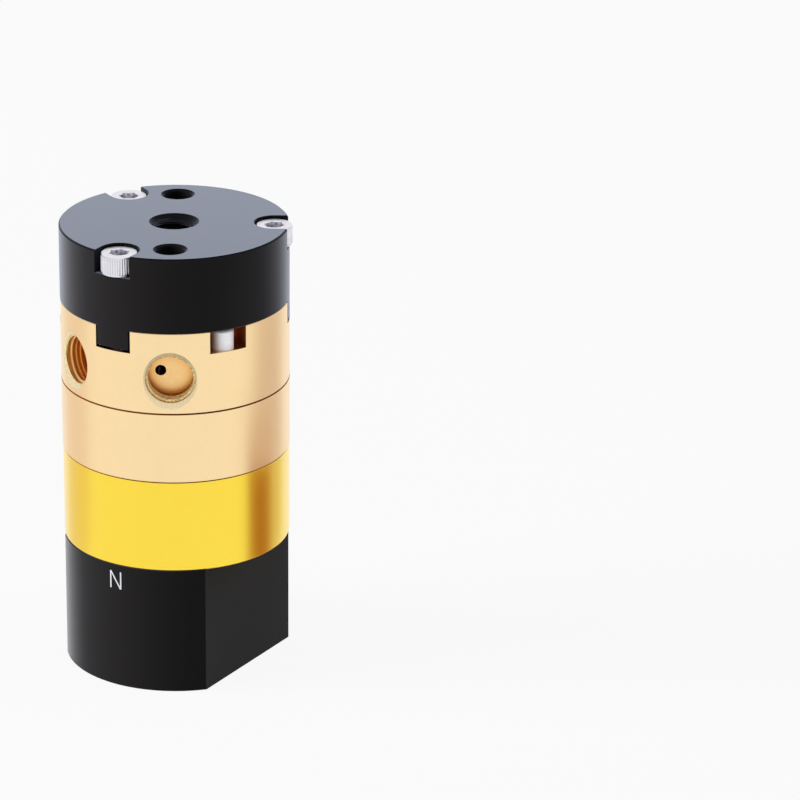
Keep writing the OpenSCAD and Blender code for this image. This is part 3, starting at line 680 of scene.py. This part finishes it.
def screw_solids():
    """A socket-head screw with its head standing on z = 0: the head and shank, and the thread."""
    sizes = bpy.context.scene.gripper_screws
    count = sizes.knurls * 6    # points round a ring, so that each tooth has its shape
    head_r, shank_r = sizes.head_d / 2, sizes.thread_d / 2
    top, groove_r = sizes.head_h, head_r - sizes.knurl_depth
    rim, shoulder = head_r - sizes.bevel, top - sizes.bevel
    low = SCREW_LOW.z - (SCREW_HIGH.z - top)
    socket_floor = top - sizes.socket_depth
    core_r = shank_r - SHANK_THREAD * sizes.thread_pitch
    thread_top = low + sizes.thread_l
    tip, runout, fillet = 0.2 * MM, 0.4 * MM, 0.15 * MM
    drill_r, drill_edge, drill_depth = 0.8 * MM, 0.25 * MM, 0.6 * MM
    flank = 1.6                 # how steeply a tooth rises, so that its crest is flat
    mouth_r = 0.54 * sizes.socket_w     # where the socket's rim is turned round

    def knurled(a):
        tooth = abs((a * sizes.knurls / math.pi) % 2 - 1)
        return head_r - sizes.knurl_depth * (1 - min(1.0, flank * tooth))

    def hexagon(a):
        return sizes.socket_w / 2 / math.cos((a + math.pi / 6) % (math.pi / 3) - math.pi / 6)

    def mouth(a):
        return max(hexagon(a) + 0.04 * MM, mouth_r)

    levels = [
        # the shank, from its tip up to the head
        (round_of(core_r * 0.5), low), (round_of(core_r - tip), low),
        (round_of(core_r), low + tip), (round_of(core_r), thread_top),
        (round_of(shank_r), thread_top + runout),
        (round_of(shank_r), -fillet), (round_of(shank_r + fillet), 0.0),
        # the outside of the head
        (round_of(head_r - 0.3 * MM), 0.0), (round_of(head_r - 0.1 * MM), 0.1 * MM),
        (round_of(groove_r), 0.3 * MM), (knurled, 0.45 * MM), (knurled, shoulder - 0.25 * MM),
        (round_of(groove_r), shoulder - 0.05 * MM),
        (round_of(rim + 0.12 * MM), top - 0.1 * MM), (round_of(rim), top),
        # the socket, down to the bottom of its drilled centre
        (mouth, top), (hexagon, top - 0.12 * MM), (hexagon, socket_floor),
        (round_of(drill_r), socket_floor - drill_edge),
        (round_of(0.05 * MM), socket_floor - drill_depth),
    ]
    body = closed_stack([ring_points(radius_at, z, count) for radius_at, z in levels])
    thread = thread_ridge(core_r, shank_r, sizes.thread_pitch, low + 0.3 * MM, thread_top,
                          steps=20)
    return joined(body, thread)


def engraved_letter(sizes):
    """The letter N as three thin closed strokes that follow the round housing."""
    sunk, proud = 0.05 * MM, 0.012 * MM     # how far the strokes reach into and out of it
    rows = 6                                # steps up a stroke, so that it follows the round
    half, top = sizes.width / 2, sizes.foot + sizes.height
    stroke, foot = sizes.stroke, sizes.foot
    slant = stroke * 1.15                   # the slanted stroke's width along the letter's foot
    strokes = [
        [(-half, foot), (-half + stroke, foot), (-half + stroke, top), (-half, top)],
        [(half - stroke, foot), (half, foot), (half, top), (half - stroke, top)],
        [(half - slant, foot), (half, foot), (-half + slant, top), (-half, top)],
    ]
    low, high = BODY_R - sunk, BODY_R + proud
    solids = []
    for outline in strokes:
        rings = []
        for row in range(rows + 1):
            t = row / rows
            left = Vector(outline[0]).lerp(Vector(outline[3]), t)
            right = Vector(outline[1]).lerp(Vector(outline[2]), t)
            rings.append([
                (radius * math.cos(sizes.azimuth + x / BODY_R),
                 radius * math.sin(sizes.azimuth + x / BODY_R), y)
                for radius, (x, y) in ((low, left), (low, right), (high, right), (high, left))
            ])
        solids.append(closed_stack(rings))
    return joined(*solids)


def port_mouth_depth(angle, root_r, mouth, spread):
    """How far along the port's axis its countersink, moved in by spread, meets the round ring."""
    halvings = 24
    low, high = mouth, BODY_R
    for _ in range(halvings):
        along = (low + high) / 2
        radius = root_r + along - mouth - spread
        if math.hypot(along, radius * math.cos(angle)) > BODY_R:
            high = along
        else:
            low = along
    return low


def port_skins(root_r, air_hole, count=96):
    """The countersink, wall and bottom of one port along +Z, the last open at the air hole.

    air_hole is the hole's place across the axis and its radius. X lies across the ring."""
    sizes = bpy.context.scene.gripper_threads
    mouth = BODY_R - sizes.port_mouth
    bottom = BODY_R - sizes.port_depth
    skin, back = 0.015 * MM, 0.15 * MM      # how far a skin stands off the wall, and into it
    lip = 0.01 * MM                         # how far its outer edge stays behind the ring's face

    def mouth_ring(spread, inset):
        ring = []
        for i in range(count):
            angle = math.tau * i / count
            along = port_mouth_depth(angle, root_r, mouth, spread)
            radius = root_r + along - mouth - spread
            ring.append((radius * math.cos(angle), radius * math.sin(angle), along - inset))
        return ring

    def level(radius, along, centre=(0.0, 0.0)):
        return ring_points(round_of(radius), along, count, centre)

    countersink = closed_loop([
        mouth_ring(skin, lip), level(root_r - skin, mouth),
        level(root_r + back, mouth), mouth_ring(-back, 3 * back),
    ])
    wall = closed_loop([
        level(root_r - skin, mouth), level(root_r - skin, bottom - back),
        level(root_r + back, bottom - back), level(root_r + back, mouth),
    ])
    *centre, hole_r = air_hole
    floor = closed_loop([
        level(root_r - skin / 2, bottom + skin), level(hole_r, bottom + skin, centre),
        level(hole_r, bottom - back, centre), level(root_r - skin / 2, bottom - back),
    ])
    return countersink, wall, floor


class GRIPPER_OT_cap(bpy.types.Operator):
    """Finishes the black cap and cuts the thread in its centre hole"""

    bl_idname = "gripper.cap"
    bl_label = "Cap and centre thread"

    def execute(self, context):
        dress("top_cap")
        sizes = context.scene.gripper_threads
        root_r = MOUNTS["mount_thread"]["dims"]["r_mm"] * MM
        length = MOUNTS["mount_thread"]["dims"]["length_mm"] * MM
        top = Z_CAP - sizes.mount_mouth
        verts, faces = thread_ridge(root_r, root_r - CENTRE_THREAD * sizes.mount_pitch,
                                    sizes.mount_pitch, top - length, top)
        piece_from("centre_thread", verts, faces, "base", "black_anodised")
        return {"FINISHED"}


class GRIPPER_OT_cap_screws(bpy.types.Operator):
    """Makes the three socket-head screws with knurled heads and threaded shanks"""

    bl_idname = "gripper.cap_screws"
    bl_label = "Cap screws"

    def execute(self, context):
        key_turn = math.radians(17)     # each socket stands further round than the last
        verts, faces = screw_solids()
        z_head = SCREW_HIGH.z - context.scene.gripper_screws.head_h
        for number, (x, y) in enumerate(screw_places()):
            turn = Matrix.Rotation(key_turn * (number + 1), 4, "Z")
            place = Matrix.Translation((x, y, z_head)) @ turn
            piece = piece_from(f"cap_screw_{number + 1}", moved(verts, place), faces,
                               "base", "bright_steel")
            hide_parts("cap_screws")
        return {"FINISHED"}


class GRIPPER_OT_port_ring(bpy.types.Operator):
    """Finishes the port ring and its dowels and cuts the threads of the two air ports"""

    bl_idname = "gripper.port_ring"
    bl_label = "Port ring and air ports"

    def execute(self, context):
        dress("port_ring")
        frame["nodes"]["locating_dowels"].data.materials[0] = finish_named("ground_steel")
        sizes = context.scene.gripper_threads
        runout = 0.2 * MM       # between the countersink and the thread's first turn
        up = Vector((0, 0, 1))
        for name, side, thread in (("port_a", -1, "port_chatter"), ("port_b", 1, "port_gold")):
            mount = MOUNTS[name]
            axis = Vector(mount["axis"])
            root_r = mount["dims"]["r_mm"] * MM
            start = BODY_R - sizes.port_mouth - runout
            ridge = thread_ridge(root_r, root_r - PORT_THREAD * sizes.port_pitch,
                                 sizes.port_pitch, start - sizes.port_l, start, root_share=0.6)
            air_hole = (side * sizes.air_hole_side, sizes.air_hole_up, sizes.air_hole_r)
            countersink, wall, floor = port_skins(root_r, air_hole)
            turn = Matrix((up.cross(axis), up, axis)).transposed().to_4x4()
            place = Matrix.Translation((0, 0, mount["pos_m"][2])) @ turn
            for part, (verts, faces), finish in (
                    ("countersink", countersink, "port_cut"), ("bore", wall, "port_bore"),
                    ("thread", ridge, thread), ("floor", floor, "port_floor")):
                piece_from(f"{name}_{part}", moved(verts, place), faces,
                           "base", "pale_gold_anodised", finish)
        return {"FINISHED"}


class GRIPPER_OT_lower_rings(bpy.types.Operator):
    """Finishes the middle and coupling rings and lays dark lines of painted shade in their joints
    """

    bl_idname = "gripper.lower_rings"
    bl_label = "Middle and coupling rings"

    def execute(self, context):
        dress("middle_ring", "coupling_ring")
        sizes = context.scene.gripper_joints
        line_depth, count = 0.35 * MM, 160
        # Each joint gets a thin dark ring of painted shade
        for name, node, sunk in (("upper_joint_line", "middle_ring", -sizes.upper_proud),
                                 ("lower_joint_line", "coupling_ring", sizes.lower_sunk)):
            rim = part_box(node)[1].x - sunk
            z = ring_top(node)
            levels = ((rim - line_depth, z - sizes.half), (rim, z - sizes.half),
                      (rim, z + sizes.half), (rim - line_depth, z + sizes.half))
            verts, faces = closed_loop([ring_points(round_of(radius), height, count)
                                        for radius, height in levels])
            piece_from(name, verts, faces, "base", "black_rubber", "sealant")
        return {"FINISHED"}


class GRIPPER_OT_magnet_housing(bpy.types.Operator):
    """Finishes the blackened magnet housing and marks its polarity letter"""

    bl_idname = "gripper.magnet_housing"
    bl_label = "Magnet housing and letter"

    def execute(self, context):
        dress("magnet_housing")
        verts, faces = engraved_letter(context.scene.gripper_letter)
        piece_from("polarity_letter", verts, faces, "base", "blackened_steel", "laser_mark")
        return {"FINISHED"}


class GRIPPER_OT_magnets(bpy.types.Operator):
    """Finishes the two magnets, the slip disc and the magnet carrier"""

    bl_idname = "gripper.magnets"
    bl_label = "Magnets and carrier"

    def execute(self, context):
        dress("fixed_magnet", "slip_disc", "turning_magnet", "magnet_carrier", "carrier_clip")
        return {"FINISHED"}


class GRIPPER_OT_bearings(bpy.types.Operator):
    """Finishes the three ball bearings and their retaining rings"""

    bl_idname = "gripper.bearings"
    bl_label = "Ball bearings"

    def execute(self, context):
        for place in ("carrier", "lower", "upper"):
            for part in ("outer_race", "inner_race", "balls", "cage"):
                dress(f"{place}_bearing_{part}")
        dress("carrier_bearing_clip", "lower_bearing_clip")
        return {"FINISHED"}


class GRIPPER_OT_vane_drive(bpy.types.Operator):
    """Finishes the vane rotor, the stator shoe and every seal"""

    bl_idname = "gripper.vane_drive"
    bl_label = "Vane drive"

    def execute(self, context):
        dress("vane_rotor", "vane_seal", "stator_shoe", "shoe_seal", "shoe_dowels",
              "shaft_seal", "cap_o_ring", "middle_o_ring")
        return {"FINISHED"}


class GRIPPER_OT_stops(bpy.types.Operator):
    """Finishes the stop arm, its pin, the stop pins and their bumpers"""

    bl_idname = "gripper.stops"
    bl_label = "Stops"

    def execute(self, context):
        dress("stop_arm", "stop_arm_pin", "stop_pins", "stop_bumpers")
        return {"FINISHED"}


# ---- Studio ----


# The camera: its place in metres, and how far it looks to the right and down and leans
CAMERA_PLACE = (0.04075, -0.83325, 0.37859)
CAMERA_ANGLES = (0.2452, 21.3220, 0.5136)

# Soft square lamps: name, place and side in metres, and the setting of their power
LAMPS = (
    ("left_lamp", (-1.88, -0.24, 0.70), 1.2, "left_level"),
    ("right_lamp", (1.90, 0.10, 0.70), 1.4, "right_level"),
    ("top_lamp", (0.0, 0.05, 0.95), 0.7, "top_level"),
)

# Cards that shape the reflections in the metal: name, place, radius, height and colour
CARDS = (
    ("card_near", (60 * MM, -9 * MM), 17 * MM, 34 * MM, (0.37, 0.105, 0.001)),
    ("card_right", (100 * MM, 20 * MM), 40 * MM, 64 * MM, (0.69, 0.60, 0.58)),
    ("card_left", (-85 * MM, 24 * MM), 32 * MM, 60 * MM, (0.87, 0.77, 0.72)),
)

WORLD_SEEN = 0.94       # how white the world is where it is seen directly or in a reflection
FLOOR_GLOW = 0.92       # share of the floor that is plain white, where the camera sees it


def add_lamp(name, place, target, side, power):
    """A soft square lamp at a place that shines at a target and shows in no reflection."""
    lamp = bpy.data.lights.new(name, "AREA")
    lamp.shape = "SQUARE"
    lamp.size = side
    lamp.energy = power
    holder = linked_object(name, lamp)
    holder.location = place
    aim = Vector(target) - Vector(place)
    holder.rotation_euler = aim.to_track_quat("-Z", "Y").to_euler()
    holder.visible_camera = holder.visible_glossy = False


def seen_directly(tree, *rays):
    """1 for the named kinds of ray, such as Is Camera Ray, and 0 for the others."""
    path = tree.nodes.new("ShaderNodeLightPath")
    total = path.outputs[rays[0]]
    for ray in rays[1:]:
        total = value_node(tree, "MAXIMUM", total, path.outputs[ray])
    return total


def mixed_shader(tree, share, first, second, outlet):
    """Sends two shaders to an output, the second by its share."""
    mix = tree.nodes.new("ShaderNodeMixShader")
    for socket, source in zip(mix.inputs, (share, first.outputs[0], second.outputs[0])):
        tree.links.new(source, socket)
    tree.links.new(mix.outputs[0], outlet.inputs["Surface"])


def make_world(level):
    """An even world that reads as white behind the object and in its reflections."""
    world = bpy.data.worlds.new("studio_world")
    world.use_nodes = True
    tree = world.node_tree
    tree.nodes.clear()
    outlet = tree.nodes.new("ShaderNodeOutputWorld")
    white = fed(tree, tree.nodes.new("ShaderNodeBackground"),
                Color=(WORLD_SEEN, WORLD_SEEN, WORLD_SEEN, 1))
    even = fed(tree, tree.nodes.new("ShaderNodeBackground"), Color=(1, 1, 1, 1), Strength=level)
    seen = seen_directly(tree, "Is Camera Ray", "Is Glossy Ray", "Is Transmission Ray")
    mixed_shader(tree, seen, even, white, outlet)
    bpy.context.scene.world = world


def floor_material():
    """A white floor that keeps the object's shadow but never falls to grey."""
    material, tree, principled = new_material("floor_white")
    fed(tree, principled, Base_Color=(0.5, 0.5, 0.505, 1), Roughness=0.9,
        Specular_IOR_Level=0.0)
    glow = fed(tree, tree.nodes.new("ShaderNodeEmission"), Color=(1, 1, 1, 1))
    direct = value_node(tree, "MULTIPLY", seen_directly(tree, "Is Camera Ray"), FLOOR_GLOW)
    mirrored = seen_directly(tree, "Is Glossy Ray", "Is Transmission Ray")
    share = value_node(tree, "MAXIMUM", direct, mirrored)
    mixed_shader(tree, share, principled, glow, tree.nodes["Material Output"])
    return material


def add_floor():
    """A plain square floor, a little below the object's foot."""
    half, drop = 3.0, 0.02 * MM
    mesh = bpy.data.meshes.new("floor")
    mesh.from_pydata([(-half, -half, 0), (half, -half, 0), (half, half, 0), (-half, half, 0)],
                     [], [(0, 1, 2, 3)])
    mesh.materials.append(floor_material())
    floor = linked_object("floor", mesh)
    floor.location.z = -drop


def card_material(name, colour):
    """A plain glow that turns to warm white at the card's sides, so that it has no hard edge."""
    material, tree, principled = new_material(name)
    side = fed(tree, tree.nodes.new("ShaderNodeLayerWeight"), Blend=0.35).outputs["Facing"]
    fed(tree, principled, Base_Color=(0, 0, 0, 1), Specular_IOR_Level=0.0,
        Emission_Color=shade_of(tree, side, colour, (0.95, 0.93, 0.9)), Emission_Strength=1.0)
    return material


def add_card(name, place, radius, high, colour):
    """A round card beside the object, which shows only in its bright metal."""
    foot, count = 3 * MM, 32
    verts, faces = closed_stack([ring_points(round_of(radius), z, count, place)
                                 for z in (foot, high)])
    mesh = bpy.data.meshes.new(name)
    mesh.from_pydata(verts, [], faces)
    mesh.materials.append(card_material(name, colour))
    card = linked_object(name, mesh)
    card.visible_camera = card.visible_diffuse = False
    card.visible_shadow = card.visible_transmission = False


def add_camera(lens):
    """The camera looks down at the stack from the front, a little to its right."""
    camera = bpy.data.cameras.new("camera")
    camera.sensor_width = 36
    camera.lens = lens
    camera.clip_start, camera.clip_end = 0.05, 10
    holder = linked_object("camera", camera)
    yaw, pitch, roll = (math.radians(angle) for angle in CAMERA_ANGLES)
    forward = Vector((math.sin(yaw) * math.cos(pitch), math.cos(yaw) * math.cos(pitch),
                      -math.sin(pitch)))
    side = forward.cross(Vector((0, 0, 1))).normalized()
    up = side.cross(forward)
    right = side * math.cos(roll) + up * math.sin(roll)
    above = up * math.cos(roll) - side * math.sin(roll)
    turn = Matrix((right, above, -forward)).transposed().to_4x4()
    holder.matrix_world = Matrix.Translation(CAMERA_PLACE) @ turn
    bpy.context.scene.camera = holder


class GRIPPER_OT_studio(bpy.types.Operator):
    """Sets the camera, the pale floor, the world, the soft lamps and the cards"""

    bl_idname = "gripper.studio"
    bl_label = "Studio"

    def execute(self, context):
        settings = context.scene.gripper_studio
        context.scene.view_settings.view_transform = "Standard"
        make_world(settings.world_level)
        add_floor()
        add_camera(settings.lens)
        for name, place, radius, high, colour in CARDS:
            add_card(name, place, radius, high, colour)
        middle = (0, 0, Z_CAP / 2)
        for name, place, side, level in LAMPS:
            add_lamp(name, place, middle, side, getattr(settings, level))
        return {"FINISHED"}


# ---- Add-on ----


class GRIPPER_PT_pieces(bpy.types.Panel):
    """Lists the sizes, the colours and one button for each piece"""

    bl_idname = "GRIPPER_PT_pieces"
    bl_label = "Magnetic gripper"
    bl_space_type = "VIEW_3D"
    bl_region_type = "UI"
    bl_category = "Gripper"

    def draw(self, context):
        for label, settings in SETTINGS.items():
            box = self.layout.box()
            box.label(text=settings.__doc__)
            group = getattr(context.scene, label)
            for name in settings.__annotations__:
                box.prop(group, name)
        for operator in OPERATORS:
            self.layout.operator(operator.bl_idname)


SETTINGS = {
    "gripper_colours": GripperColours,
    "gripper_screws": ScrewSizes,
    "gripper_threads": ThreadSizes,
    "gripper_joints": JointShadeSizes,
    "gripper_letter": LetterSizes,
    "gripper_studio": StudioSettings,
}
OPERATORS = (
    GRIPPER_OT_studio,
    GRIPPER_OT_cap,
    GRIPPER_OT_cap_screws,
    GRIPPER_OT_port_ring,
    GRIPPER_OT_lower_rings,
    GRIPPER_OT_magnet_housing,
    GRIPPER_OT_magnets,
    GRIPPER_OT_bearings,
    GRIPPER_OT_vane_drive,
    GRIPPER_OT_stops,
)


def register():
    for settings in SETTINGS.values():
        bpy.utils.register_class(settings)
    for label, settings in SETTINGS.items():
        setattr(bpy.types.Scene, label, bpy.props.PointerProperty(type=settings))
    for operator in OPERATORS:
        bpy.utils.register_class(operator)
    bpy.utils.register_class(GRIPPER_PT_pieces)


def unregister():
    bpy.utils.unregister_class(GRIPPER_PT_pieces)
    for operator in reversed(OPERATORS):
        bpy.utils.unregister_class(operator)
    for label, settings in SETTINGS.items():
        delattr(bpy.types.Scene, label)
        bpy.utils.unregister_class(settings)


def main():
    register()
    bpy.ops.gripper.studio()
    bpy.ops.gripper.cap()
    bpy.ops.gripper.cap_screws()
    bpy.ops.gripper.port_ring()
    bpy.ops.gripper.lower_rings()
    bpy.ops.gripper.magnet_housing()
    bpy.ops.gripper.magnets()
    bpy.ops.gripper.bearings()
    bpy.ops.gripper.vane_drive()
    bpy.ops.gripper.stops()


if __name__ == "__main__":
    main()
